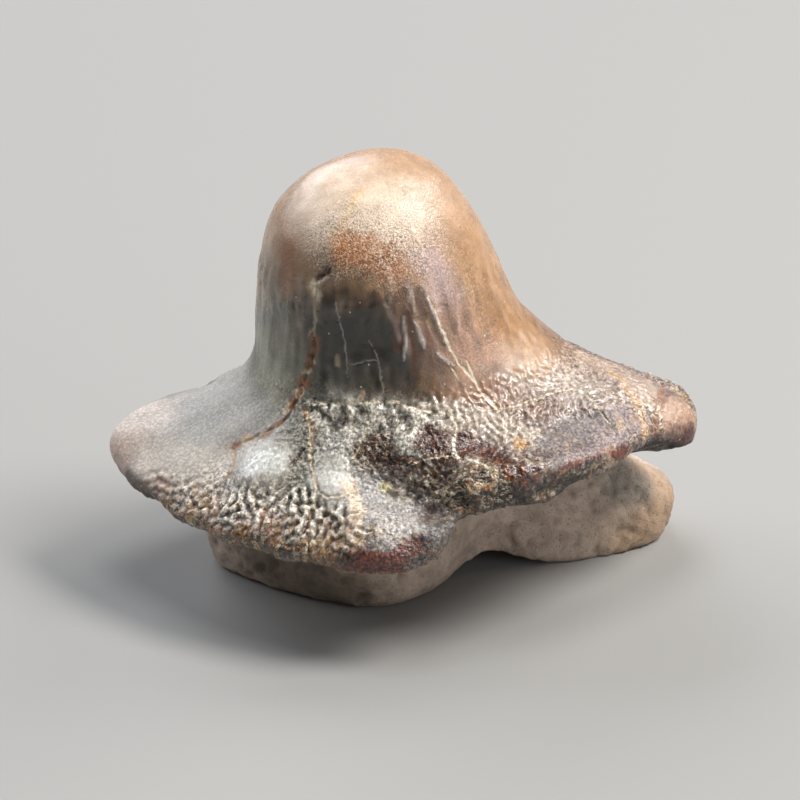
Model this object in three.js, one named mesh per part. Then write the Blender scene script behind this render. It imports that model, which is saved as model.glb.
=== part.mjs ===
// A fossil Ptychodus tooth: the crushing tooth of a Cretaceous shark, crown and root in one piece. A
// tall round cusp, worn smooth at its top, stands on a drooping skirt, the marginal area. The skirt ends
// in two wings, left and right, in a nose at the front and in a shallow bay at the back. Below it a
// lower, narrower root of two lobes, with a shallow groove between them, stands on flat pads.
//
// Millimetres, +Z up the cusp, +X from wing to wing, -Y towards the nose, Z = 0 on the root's pads.
// Azimuths are in degrees about the cusp's axis: 0 is +X, 90 is +Y and 270 is the nose.
import * as THREE from "three";
import { ImprovedNoise } from "three/addons/math/ImprovedNoise.js";
import { mergeVertices } from "three/addons/utils/BufferGeometryUtils.js";

// Driving dimensions
const CUSP_TOP = 9.1; // the cusp's highest point over the pads
const CUSP_AXIS = [-0.5, 0.5]; // the axis from which every reach below is measured
const STEPS = 120; // steps round the tooth
const FRONT = 285; // the azimuth where those steps are shortest
const CROWDING = 0.22; // by which share they are shorter there, and longer at the back
const ENAMEL = { color: 0x6e5646, roughness: 0.45, metalness: 0 };

// The cusp and the skirt's inner part: rings from the top down, at eight azimuths.
const STATIONS = [0, 45, 90, 135, 180, 225, 270, 315];
const CUSP_RINGS = [
  {
    name: "crest",
    reach: [1.22, 1.18, 1.15, 1.18, 1.24, 1.2, 1.18, 1.22],
    height: [8.68, 8.7, 8.72, 8.74, 8.76, 8.74, 8.72, 8.7],
  },
  {
    name: "shoulder",
    reach: [1.93, 1.82, 1.84, 1.92, 2.1, 2.02, 1.95, 1.94],
    height: [7.82, 7.84, 7.9, 7.94, 8.0, 7.98, 7.98, 7.88],
  },
  {
    name: "brow",
    reach: [2.4, 2.18, 2.14, 2.24, 2.42, 2.36, 2.3, 2.36],
    height: [6.76, 6.8, 6.9, 6.95, 7.0, 7.0, 7.05, 6.9],
  },
  {
    name: "waist",
    reach: [2.98, 2.52, 2.34, 2.4, 2.5, 2.45, 2.44, 2.62],
    height: [5.65, 5.6, 5.7, 5.75, 5.85, 5.9, 5.95, 5.85],
  },
  {
    name: "foot",
    reach: [3.9, 3.05, 2.66, 2.6, 2.68, 2.7, 2.72, 3.1],
    height: [4.8, 4.52, 4.36, 4.32, 4.46, 4.62, 4.85, 5.0],
  },
  {
    name: "skirt",
    reach: [5.2, 4.0, 3.1, 3.1, 3.6, 3.6, 3.8, 3.95],
    height: [4.2, 3.4, 3.55, 3.62, 3.75, 3.5, 3.55, 4.3],
  },
];

// The crown's margin: azimuth, reach of the rim, height of the lip under it, height of the rim's face,
// and how far the shelf over that face is set back.
const MARGIN = [
  [2, 6.48, 2.9, 0.8, 0.25],
  [10, 6.3, 2.85, 0.66, 0.22],
  [18, 5.85, 2.75, 0.56, 0.2],
  [29, 5.25, 2.68, 0.52, 0.2],
  [45, 4.65, 2.6, 0.55, 0.2],
  [60, 4.2, 2.55, 0.58, 0.2],
  [74, 3.85, 2.6, 0.6, 0.2],
  [88, 3.5, 2.75, 0.6, 0.2],
  [102, 3.62, 2.68, 0.6, 0.2],
  [118, 3.78, 2.6, 0.58, 0.2],
  [135, 3.78, 2.68, 0.55, 0.2],
  [150, 3.92, 2.76, 0.52, 0.2],
  [162, 4.2, 2.82, 0.5, 0.2],
  [174, 4.95, 2.84, 0.54, 0.2],
  [184, 5.52, 2.62, 0.54, 0.18],
  [192, 5.32, 2.38, 0.52, 0.18],
  [202, 5.06, 2.26, 0.5, 0.18],
  [217, 4.84, 2.13, 0.5, 0.18],
  [234, 4.76, 2.12, 0.52, 0.18],
  [250, 4.82, 2.15, 0.54, 0.18],
  [263, 5.02, 2.17, 0.58, 0.2],
  [271, 5.12, 2.12, 0.62, 0.22],
  [280, 5.04, 2.26, 0.72, 0.28],
  [286, 4.9, 2.52, 0.86, 0.34],
  [291, 4.82, 2.92, 0.86, 0.32],
  [300, 4.9, 3.1, 0.8, 0.25],
  [316, 5.08, 3.16, 0.72, 0.22],
  [328, 5.27, 3.32, 0.56, 0.22],
  [339, 5.62, 3.46, 0.46, 0.2],
  [346, 5.82, 3.4, 0.5, 0.22],
  [353, 6.36, 2.98, 0.76, 0.25],
];
const RIM_LINE = 0.45; // share of the rim's face that lies below its outermost line
const LIP_TURN = 0.14; // how far the lip turns in under that line
const LIP_ARCH = 0.12; // how far the crown's underside arches up on its way to the neck

// The root's outline: azimuth, reach of the wall, and reach of the neck where the crown sits on it.
const ROOT = [
  [2, 4.5, 3.8],
  [6, 5.4, 4.2],
  [11, 6.1, 4.5],
  [22, 6.2, 4.4],
  [32, 5.6, 4.0],
  [42, 5.0, 3.6],
  [60, 4.2, 3.15],
  [80, 3.8, 2.9],
  [100, 3.65, 2.85],
  [125, 3.7, 2.95],
  [150, 3.75, 3.1],
  [180, 3.55, 3.15],
  [196, 3.05, 2.8],
  [213, 2.72, 2.55],
  [232, 2.5, 2.42],
  [270, 2.45, 2.38],
  [302, 2.12, 2.15],
  [336, 2.15, 2.2],
  [354, 2.85, 2.75],
];
const NECK_HEIGHT = 2.4;
const ANKLE = { height: 1.6, share: 0.62 }; // the top of the lobes, between the neck and the wall
const WALL_HEIGHT = 0.86; // where the lobes reach furthest
const HEEL = { height: 0.24, inset: 0.16 }; // where the wall turns under
const PAD = { inset: 0.5, middle: 0.4 }; // the flat pad's edge inside the wall, and its inner ring
const PAD_FLAT = 0.03; // what lies lower than this is part of the flat pads

// The groove between the root's lobes: a line in plan, its half width, how far it cuts into the lobes'
// undersides and how far into the wall. The rings of the underside close round its middle.
const GROOVE = { middle: [1.35, 1.9], azimuth: 104, half: 0.75, roof: 0.42, bay: 0.2 };
const GROOVE_FADE = [0.5, NECK_HEIGHT]; // the heights over which it runs out

// How many rows of the grid lie between one ring and the next, from the cusp's top to the underside's
// middle, and the rings of the lip and of the pads' edge among them.
const ROWS = [3, 3, 3, 4, 4, 4, 4, 2, 2, 2, 1, 1, 2, 1, 1, 2, 2];
const LIP_RING = 9;
const PAD_RING = 14;

// Lumps and hollows: a route over the surface, how far round it each one spreads, and how much it rises
// over the plain form, or sinks below it.
const LANDMARKS = [
  { name: "nose", route: [[-0.6, -3.95, 3.05]], spread: 1.1, rise: 0.16 },
  { name: "nose's left ridge", route: [[-1.3, -3.3, 3.4], [-1.1, -3.9, 3.0]], spread: 0.5, rise: 0.08 },
  {
    name: "hollow beside the nose",
    route: [[-0.2, -3.5, 3.45], [0.35, -3.65, 3.4], [0.9, -3.9, 3.3]],
    spread: 0.7,
    rise: -0.34,
  },
  { name: "hollow's inner arm", route: [[-0.6, -3.05, 3.95]], spread: 0.4, rise: -0.1 },
  { name: "knob", route: [[0.08, -2.9, 4.1]], spread: 0.52, rise: 0.2 },
  {
    name: "brow over the right lip",
    route: [[0.6, -2.8, 4.1], [1.3, -3.1, 4], [1.9, -3.5, 3.9], [2.9, -3.1, 3.8], [3.9, -2.4, 3.8]],
    spread: 0.42,
    rise: 0.1,
  },
  {
    name: "hollow face of the right lip",
    route: [[1.3, -3.9, 3.35], [2.4, -3.7, 3.3], [3.4, -3.0, 3.35]],
    spread: 0.4,
    rise: -0.12,
  },
  {
    name: "swelling round the cusp's foot",
    route: [[-1.9, -2.3, 4.3], [-1.2, -2.6, 4.4], [-0.4, -2.7, 4.4], [0.6, -2.6, 4.4], [1.4, -2.2, 4.6]],
    spread: 0.5,
    rise: 0.08,
  },
  { name: "swelling of the left wing", route: [[-2.85, -2.2, 3.55]], spread: 1.0, rise: 0.12 },
  { name: "swelling left of the nose", route: [[-1.5, -3.0, 3.5]], spread: 0.6, rise: 0.1 },
  {
    name: "valley along the old crack",
    route: [[-2.1, -1.3, 5.0], [-2.5, -1.5, 4.3], [-3.3, -1.6, 3.7], [-3.9, -1.9, 3.4]],
    spread: 0.42,
    rise: -0.07,
  },
  { name: "chip on the cusp", route: [[-1.66, -1.37, 7.46]], spread: 0.32, rise: -0.1 },
  { name: "dent behind the left wing", route: [[-3.0, 1.9, 3.9]], spread: 0.8, rise: -0.08 },
  { name: "bay at the back", route: [[-0.4, 3.4, 3.8]], spread: 1.1, rise: -0.14 },
  { name: "swelling right of the bay", route: [[2.0, 3.3, 3.4]], spread: 1.0, rise: 0.08 },
  {
    name: "hollow over the right lobe",
    route: [[4.4, 1.0, 1.75], [4.6, 2.6, 1.75]],
    spread: 0.7,
    rise: -0.16,
  },
  { name: "pore in the right lobe", route: [[3.2, 3.9, 1.1]], spread: 0.36, rise: -0.16 },
  { name: "pore in the left lobe", route: [[-2.4, 3.6, 1.1]], spread: 0.36, rise: -0.16 },
  { name: "pore under the nose", route: [[-1.0, -1.7, 1.2]], spread: 0.34, rise: -0.12 },
];

// The folds down the cusp's front right flank, a fixed number of degrees apart. They lean to the right
// on their way down, and wander.
const FOLDS = {
  pitch: 10.5,
  rise: 0.035,
  azimuths: [262, 332],
  azimuthFade: 20,
  heights: [5.2, 7.7],
  heightFade: 1.1,
  lean: 3,
  wander: { pitch: 1.6, rise: 9, layer: 7.9 },
};

// The grain of the cusp, the skirt, the root and the margin: pitch, rise and place in the noise.
const CUSP_GRAIN = { pitch: 1.9, rise: 0.06, layer: 5.2 };
const SKIRT_GRAIN = { pitch: 0.8, rise: [0.06, 0.06, 0.06, 0.05, 0.04, 0.08, 0.1, 0.12], layer: 1.4 };
const SKIRT_FADE = [4.2, 5.0]; // the heights over which the skirt's grain ends
const ROOT_GRAIN = { pitch: 1.7, rise: 0.16, layer: 2.3 };
const PAD_FADE = [0.05, 0.5]; // the heights over which the root's grain starts above the pads
const RIM_GRAIN = { pitch: 0.9, rise: 0.07, layer: 4.5 };
const LIP_GRAIN = { pitch: 0.9, rise: 0.07, layer: 9.5 };

const noise = new ImprovedNoise();
const { clamp, degToRad, euclideanModulo, smoothstep } = THREE.MathUtils;

// A smooth value by azimuth through knots [azimuth, value...], closed round the tooth; column picks it.
function around(knots, column) {
  const count = knots.length;
  const knot = (i) => {
    const turns = Math.floor(i / count);
    const row = knots[i - turns * count];
    return [row[0] + 360 * turns, row[column]];
  };
  const slope = (i) => {
    const [before, after] = [knot(i - 1), knot(i + 1)];
    return (after[1] - before[1]) / (after[0] - before[0]);
  };
  return (azimuth) => {
    let at = euclideanModulo(azimuth, 360);
    if (at < knots[0][0]) at += 360;
    let i = 0;
    while (knot(i + 1)[0] <= at) i += 1;
    const [from, to] = [knot(i), knot(i + 1)];
    const span = to[0] - from[0];
    const t = (at - from[0]) / span;
    return (
      from[1] * (2 * t ** 3 - 3 * t ** 2 + 1) +
      slope(i) * span * (t ** 3 - 2 * t ** 2 + t) +
      to[1] * (3 * t ** 2 - 2 * t ** 3) +
      slope(i + 1) * span * (t ** 3 - t ** 2)
    );
  };
}

const byStation = (values) => around(STATIONS.map((azimuth, i) => [azimuth, values[i]]), 1);
const cuspRings = CUSP_RINGS.map((ring) => ({
  reach: byStation(ring.reach),
  height: byStation(ring.height),
}));
const margin = {
  reach: around(MARGIN, 1),
  lip: around(MARGIN, 2),
  face: around(MARGIN, 3),
  setback: around(MARGIN, 4),
};
const root = { wall: around(ROOT, 1), neck: around(ROOT, 2) };
const skirtGrainRise = byStation(SKIRT_GRAIN.rise);

// Rounded grain at a pitch in millimetres, between -1 and 1.
function grain(point, { pitch, layer }) {
  return noise.noise(point.x / pitch + layer, point.y / pitch + layer, point.z / pitch + layer);
}

// A point of the surface: reach and height at one azimuth, measured from a middle in plan.
function place(middle, azimuth, reach, height) {
  const turn = degToRad(azimuth);
  return new THREE.Vector3(
    middle[0] + reach * Math.cos(turn),
    middle[1] + reach * Math.sin(turn),
    height,
  );
}

// The half section at one azimuth, as [reach, height] knots from the cusp's top to the pads' middle.
function section(azimuth) {
  const plainReach = margin.reach(azimuth);
  const atRim = place(CUSP_AXIS, azimuth, plainReach, 0);
  const reach = plainReach + RIM_GRAIN.rise * grain(atRim, RIM_GRAIN);
  const lip = margin.lip(azimuth) + LIP_GRAIN.rise * grain(atRim, LIP_GRAIN);
  const face = margin.face(azimuth);
  const wall = root.wall(azimuth);
  const neck = root.neck(azimuth);
  return [
    [0, CUSP_TOP],
    ...cuspRings.map((ring) => [ring.reach(azimuth), ring.height(azimuth)]),
    [reach - margin.setback(azimuth), lip + face],
    [reach, lip + RIM_LINE * face],
    [reach - LIP_TURN, lip],
    [(reach + neck) / 2, (lip + NECK_HEIGHT) / 2 + LIP_ARCH],
    [neck, NECK_HEIGHT],
    [neck + ANKLE.share * (wall - neck), ANKLE.height],
    [wall, WALL_HEIGHT],
    [wall - HEEL.inset, HEEL.height],
    [wall - PAD.inset, 0],
    [PAD.middle * wall, 0],
    [0, 0],
  ];
}

// The section as a smooth curve, its first and last stretch mirrored across the axis so that the cusp's
// top comes out round and the pads flat. Each row of it is a point and its outward normal.
function sectionRows(azimuth) {
  const knots = section(azimuth);
  const mirror = ([reach, height]) => [-reach, height];
  const mirrored = [mirror(knots[1]), ...knots, mirror(knots[knots.length - 2])];
  const curve = new THREE.CatmullRomCurve3(
    mirrored.map(([reach, height]) => new THREE.Vector3(reach, height, 0)),
    false,
    "centripetal",
  );
  const rows = [];
  ROWS.forEach((count, ring) => {
    for (let i = 0; i < count; i += 1) {
      const t = (ring + 1 + i / count) / (mirrored.length - 1);
      const tangent = curve.getTangent(t);
      rows.push({ point: curve.getPoint(t), normal: [-tangent.y, tangent.x] });
    }
  });
  rows[0].normal = [0, 1];
  rows.push({ point: new THREE.Vector3(0, 0, 0), normal: [0, -1] });
  return rows;
}

const landmarks = LANDMARKS.map(({ route, spread, rise }) => {
  const points = route.map((point) => new THREE.Vector3(...point));
  const lines = points.map((point, i) => new THREE.Line3(points[Math.max(i - 1, 0)], point));
  return { lines, spread, rise };
});

// How far all the landmarks together lift the surface at a point.
function landmarkRise(point) {
  const nearest = new THREE.Vector3();
  const away = (line) => line.closestPointToPoint(point, true, nearest).distanceTo(point);
  return landmarks.reduce((total, { lines, spread, rise }) => {
    const near = clamp(1 - (Math.min(...lines.map(away)) / spread) ** 2, 0, 1);
    return total + rise * near ** 2;
  }, 0);
}

// A window that opens and closes softly over a range of values.
function within(value, [from, to], fade) {
  return smoothstep(value, from, from + fade) * (1 - smoothstep(value, to - fade, to));
}

function foldRise(point, azimuth) {
  const lean = FOLDS.lean * (FOLDS.heights[1] - point.z);
  const wander = FOLDS.wander.rise * grain(point, FOLDS.wander);
  const phase = ((azimuth - lean - wander) / FOLDS.pitch) * 2 * Math.PI;
  const window =
    within(azimuth, FOLDS.azimuths, FOLDS.azimuthFade) *
    within(point.z, FOLDS.heights, FOLDS.heightFade);
  return FOLDS.rise * window * Math.cos(phase);
}

// How far the surface stands off the plain form, on the crown and on the root.
function crownRise(point, azimuth) {
  return (
    landmarkRise(point) +
    foldRise(point, azimuth) +
    CUSP_GRAIN.rise * grain(point, CUSP_GRAIN) +
    skirtGrainRise(azimuth) * (1 - smoothstep(point.z, ...SKIRT_FADE)) * grain(point, SKIRT_GRAIN)
  );
}

function rootRise(point) {
  return (
    landmarkRise(point) +
    ROOT_GRAIN.rise * smoothstep(point.z, ...PAD_FADE) * grain(point, ROOT_GRAIN)
  );
}

// The groove's hold on a point of the root: 1 in its middle line, 0 away from it and at the neck.
function grooveHold(point) {
  const turn = degToRad(GROOVE.azimuth);
  const aside =
    (point.x - GROOVE.middle[0]) * Math.sin(turn) - (point.y - GROOVE.middle[1]) * Math.cos(turn);
  return Math.exp(-((aside / GROOVE.half) ** 2)) * (1 - smoothstep(point.z, ...GROOVE_FADE));
}

// The azimuth of one column of the grid, with the steps crowded together at the front.
function columnAzimuth(column) {
  const even = (360 * (column % STEPS)) / STEPS;
  const crowded = even - THREE.MathUtils.radToDeg(CROWDING) * Math.sin(degToRad(even));
  return euclideanModulo(FRONT + crowded, 360);
}

// The tooth's whole surface: a sphere's grid, each row of it laid along one ring of the tooth.
function toothGeometry() {
  const rowOf = (ring) => ROWS.slice(0, ring).reduce((sum, count) => sum + count, 0);
  const [lipRow, padRow, rowCount] = [LIP_RING, PAD_RING, ROWS.length].map(rowOf);
  const geometry = new THREE.SphereGeometry(1, STEPS, rowCount);
  const position = geometry.getAttribute("position");
  for (let column = 0; column <= STEPS; column += 1) {
    const azimuth = columnAzimuth(column);
    const padReach = root.wall(azimuth) - PAD.inset;
    sectionRows(azimuth).forEach(({ point, normal }, row) => {
      const under = row > padRow ? 1 - point.x / padReach : 0;
      const middle = CUSP_AXIS.map((value, i) => value + (GROOVE.middle[i] - value) * under);
      const plain = place(middle, azimuth, point.x, point.y);
      const rise = row <= lipRow ? crownRise(plain, azimuth) : rootRise(plain);
      const reach = point.x + rise * normal[0];
      const shaped = place(middle, azimuth, reach, point.y + rise * normal[1]);
      if (row > lipRow) {
        const hold = grooveHold(shaped);
        if (row <= padRow) shaped.copy(place(middle, azimuth, reach - GROOVE.bay * hold, shaped.z));
        shaped.z = Math.max(shaped.z, 0) + GROOVE.roof * hold;
        if (shaped.z < PAD_FLAT) shaped.z = 0;
      }
      position.setXYZ(row * (STEPS + 1) + column, ...shaped);
    });
  }
  geometry.deleteAttribute("normal");
  geometry.deleteAttribute("uv");
  return mergeVertices(geometry);
}

// Rests the tooth on Z = 0 with the middle of its bounding box over the origin.
function centred(geometry) {
  geometry.computeBoundingBox();
  const middle = geometry.boundingBox.getCenter(new THREE.Vector3());
  geometry.translate(-middle.x, -middle.y, -geometry.boundingBox.min.z);
  geometry.computeVertexNormals();
  return geometry;
}

const tooth = new THREE.Mesh(centred(toothGeometry()), new THREE.MeshStandardMaterial(ENAMEL));
tooth.name = "tooth";

const group = new THREE.Group();
group.add(tooth);
export default group;
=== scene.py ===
"""A fossil crushing tooth: a tall worn cusp on a wide crown, on a low two-lobed root."""
import math
from functools import partial

import bmesh
import bpy
import numpy as np
from bpy.props import FloatProperty, FloatVectorProperty, PointerProperty
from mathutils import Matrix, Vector, noise
from mathutils.bvhtree import BVHTree
from mathutils.kdtree import KDTree


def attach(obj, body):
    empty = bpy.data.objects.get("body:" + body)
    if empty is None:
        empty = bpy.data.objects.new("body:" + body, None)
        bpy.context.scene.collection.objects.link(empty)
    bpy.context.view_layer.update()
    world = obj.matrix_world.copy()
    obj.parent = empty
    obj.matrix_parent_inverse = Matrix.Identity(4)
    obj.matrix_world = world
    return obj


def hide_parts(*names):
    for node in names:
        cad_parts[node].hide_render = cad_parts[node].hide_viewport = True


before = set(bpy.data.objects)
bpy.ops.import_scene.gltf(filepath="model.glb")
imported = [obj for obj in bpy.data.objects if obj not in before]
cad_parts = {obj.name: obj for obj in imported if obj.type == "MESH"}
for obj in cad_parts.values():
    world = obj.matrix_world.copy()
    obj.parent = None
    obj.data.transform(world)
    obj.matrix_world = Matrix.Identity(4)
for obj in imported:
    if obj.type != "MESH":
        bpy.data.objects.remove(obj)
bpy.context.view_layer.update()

bl_info = {
    "name": "Fossil crushing tooth",
    "version": (1, 0, 0),
    "blender": (4, 5, 0),
    "location": "3D View > Sidebar > Fossil tooth",
    "description": "Dresses the packed tooth and sets a plain studio round it",
    "category": "Object",
}

# Shapes are worked in millimetres, and the finished mesh is brought to metres.
MM = 0.001

# The photograph: pixels across, pixels to a millimetre, the camera's tilt, the point of the
# tooth that stands in the middle of the picture, and the sensor's width and the lens.
PICTURE = 800
PIXELS = 49.333
TILT = math.radians(25)
MIDDLE = Vector((-0.072, 0.185, 3.912))
SENSOR = 36.0
LENS = 800.0

# A pixel well inside the tooth, and how many pixels a place may be drawn in towards it.
INNER = (390, 430)
DRAW_IN = 16

# The cusp's axis, from which the crown's ridges run outwards.
AXIS = (-0.49, 0.685)

# Height at which the crown's underside meets the root, and the lowest height of its rim.
NECK = 2.45
RIM_LOW = 2.3

# The rim's reach is found in sectors of this many degrees round the axis.
SECTOR = 3.0

# How far apart a route's points are laid, in pixels, on a line and on a patch.
LINE_STEP = 5
PATCH_STEP = 25

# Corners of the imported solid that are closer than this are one, in millimetres.
WELD = 0.0004

# The finer mesh covers what faces the camera by this much, between two heights, and
# leaves out the smooth wing, left of one place and above another.
FACING = 0.12
FINE_LOW, FINE_HIGH = 2.2, 6.9
WING_RIGHT, WING_LOW = -3.2, 3.0

# A tooth with this many triangles or more stops the build.
MOST_TRIANGLES = 200000

# A seed moves the noise by this much. The gain brings it to about -1 to 1.
SEED_STEP = np.array([7.31, 3.77, 5.13])
NOISE_GAIN = 1.6

# The waves of ribs: how far apart their patches are and how far one reaches, as shares
# of the ribs' spacing.
WAVE_GAP, WAVE_REACH = 0.55, 1.9

# The distance given to a point that no route is near.
FAR = 99.0


def linear(code):
    """The linear colour of an sRGB hex code."""
    parts = [int(code[i:i + 2], 16) / 255 for i in (1, 3, 5)]
    return tuple(c / 12.92 if c <= 0.04045 else ((c + 0.055) / 1.055) ** 2.4 for c in parts)


def opaque(code):
    """The linear colour with full alpha, as a node takes it."""
    return (*linear(code), 1)


def colour(label, about, code):
    """A colour that a user may change."""
    return FloatVectorProperty(name=label, description=about, subtype="COLOR", size=3,
                               min=0, max=1, default=linear(code))


def length(label, about, millimetres):
    """A size that a user may change."""
    return FloatProperty(name=label, description=about, unit="LENGTH", precision=6,
                         min=0, default=millimetres * MM)


def power(label, about, watts):
    """A light's power that a user may change."""
    return FloatProperty(name=label, description=about, unit="POWER", precision=3, min=0,
                         default=watts)


class ToothLooks(bpy.types.PropertyGroup):
    """Sizes of the tooth's relief, and its colours."""
    pitch: length("Mesh pitch", "Spacing of the mesh on the plain sides", 0.09)
    worm_rise: length("Margin ridges", "Height of the winding ridges on the margin", 0.105)
    ripple_rise: length("Flank ripples", "Height of the ripples that run down the flank", 0.045)
    crumb_rise: length("Crumb", "Height of the crumbled surface round the cusp's foot", 0.05)
    pore_rise: length("Root pores", "Depth of the root's pores", 0.06)
    grain: length("Grain", "Size of the finest grain", 0.045)
    summit: colour("Summit", "The worn top of the cusp", "#b5957a")
    amber: colour("Amber side", "The cusp's right side and back", "#946b47")
    band: colour("Pored band", "The orange-brown band under the summit", "#c07c3e")
    charcoal: colour("Charcoal", "The dark front of the cusp", "#292722")
    flank: colour("Flank", "The right flank of the crown", "#80706a")
    ash: colour("Ash", "The cusp's left side and its foot", "#7b786c")
    wing: colour("Wing", "The smooth left wing", "#aba69f")
    margin: colour("Margin", "The pitted rim of the crown", "#54453a")
    maroon: colour("Maroon", "Dark red patches near the rim", "#4d2a26")
    # The lip's near-black is painted shade, laid on the faces under the rim.
    lip: colour("Lip", "The dark face under the rim", "#1d1b1b")
    rust: colour("Rust", "Iron stain along the old crack", "#7a4526")
    cream: colour("Cream", "Pale mineral in cracks and flecks", "#ddd0b8")
    tan: colour("Tan", "Tan mineral in the broader cracks", "#c09772")
    root: colour("Root", "The porous root", "#bfab9b")


class StageLooks(bpy.types.PropertyGroup):
    """The floor, the lights and the sky."""
    floor_colour: colour("Floor", "The floor's colour", "#9c9c9b")
    floor_size: length("Floor size", "Radius of the floor", 320)
    key_power: power("Key light", "Power of the light over the right", 0.175)
    side_power: power("Side light", "Power of the light at the left", 0.078)
    front_power: power("Front light", "Power of the light in front", 0.042)
    top_power: power("Top light", "Power of the wide light overhead", 0.055)
    right_power: power("Right light", "Power of the light at the right", 0.085)
    back_power: power("Back light", "Power of the wide light behind", 0.11)
    sky: FloatProperty(name="Sky", description="Strength of the even light all round",
                       min=0, max=2, default=0.1)


# Places on the tooth, each a route of photograph pixels laid onto the surface.

# Old cracks: half width and depth in millimetres, the colour that fills them, and the route.
CRACKS = {
    "old_crack_upper": (0.075, 0.055, "rust", [(313, 338), (312, 350), (310, 362), (305, 376),
        (300, 391), (294, 404)]),
    "old_crack_lower": (0.065, 0.045, "rust", [(294, 404), (288, 414), (281, 423), (262, 434),
        (248, 441), (235, 446)]),
    "old_crack_end": (0.055, 0.02, "tan", [(235, 449), (233, 465), (225, 478)]),
    "old_crack_top": (0.035, 0.03, "#b3a890", [(316, 284), (315, 300), (315, 320), (313, 338)]),
    "branch": (0.05, 0.025, "#cbb595", [(297, 404), (308, 414), (311, 430), (312, 448),
        (312, 465), (316, 480), (320, 493)]),
    "branch_turn": (0.03, 0.03, "cream", [(320, 493), (328, 497), (342, 496), (354, 486)]),
    "branch_low": (0.035, 0.03, "cream", [(316, 495), (311, 510), (309, 530), (307, 550)]),
    "front_left": (0.02, 0.012, "#9b958a", [(334, 272), (336, 300), (340, 320), (345, 347),
        (347, 367), (349, 380)]),
    "front_bar": (0.018, 0.01, "#8d877b", [(350, 366), (360, 362), (375, 361), (378, 362)]),
    "front_mid": (0.018, 0.01, "#8d877b", [(370, 342), (377, 360), (380, 380), (384, 396)]),
    "long_upper": (0.034, 0.015, "cream", [(427, 295), (435, 310), (442, 330), (450, 350),
        (458, 362), (475, 382), (484, 396)]),
    "long_lower": (0.036, 0.015, "#e6dcc8", [(484, 396), (495, 408), (503, 418)]),
    "twin_a": (0.024, 0.012, "cream", [(447, 362), (452, 370), (457, 379)]),
    "twin_b": (0.024, 0.012, "cream", [(466, 360), (470, 370), (476, 382)]),
    "ring": (0.04, 0.02, "cream", [(306, 404), (337, 404), (365, 404), (380, 401), (395, 402),
        (417, 409), (440, 412)]),
    "drop": (0.05, 0.015, "#e6dcc8", [(450, 410), (457, 428), (454, 445), (456, 456),
        (468, 460), (482, 463), (492, 470), (502, 475)]),
    "hollow_rim": (0.022, 0.012, "#c6b89e", [(407, 467), (422, 461), (437, 457), (455, 455)]),
    "hollow_floor": (0.026, 0.012, "cream", [(422, 502), (440, 494), (460, 490), (476, 487)]),
    "flank_bow": (0.026, 0.012, "#d8cdb8", [(497, 410), (513, 406), (530, 401), (550, 393),
        (573, 388), (586, 393), (598, 408), (610, 423)]),
    "knob_side": (0.026, 0.015, "cream", [(365, 404), (369, 420), (364, 436), (352, 458)]),
    "summit_hair": (0.022, 0.01, "cream", [(333, 237), (341, 224), (350, 210), (362, 192)]),
    "swell_groove": (0.055, 0.04, "#4a3d32", [(284, 470), (292, 465), (300, 456), (305, 450)]),
    "notch": (0.13, 0.035, "#8a6656", [(664, 384), (661, 398), (659, 412), (656, 428),
        (654, 440)]),
    "nose_line": (0.015, 0.01, "cream", [(360, 532), (372, 533), (385, 532), (402, 534)]),
}

# Raised creases down the cusp, painted pale as highlights: half width and height in millimetres,
# and the route.
CREASES = {
    "crease_one": (0.05, 0.03, [(385, 262), (388, 274), (391, 290), (390, 304)]),
    "crease_two": (0.05, 0.035, [(404, 284), (409, 292), (413, 302), (414, 312)]),
    "crease_three": (0.045, 0.045, [(405, 314), (404, 330), (404, 346), (403, 362)]),
    "crease_four": (0.05, 0.045, [(414, 320), (418, 330), (422, 340), (424, 350)]),
    "crease_five": (0.06, 0.045, [(424, 286), (428, 300), (434, 316), (441, 330), (447, 345)]),
    "crease_six": (0.045, 0.03, [(456, 314), (459, 324), (459, 334)]),
    "crease_seven": (0.06, 0.015, [(302, 276), (301, 286), (304, 296)]),
    "crease_low": (0.05, 0.035, [(436, 354), (443, 360), (452, 366)]),
    "crease_left_one": (0.06, 0.012, [(288, 300), (287, 330), (284, 360)]),
    "crease_left_two": (0.06, 0.01, [(273, 290), (271, 320), (268, 350)]),
}
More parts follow.
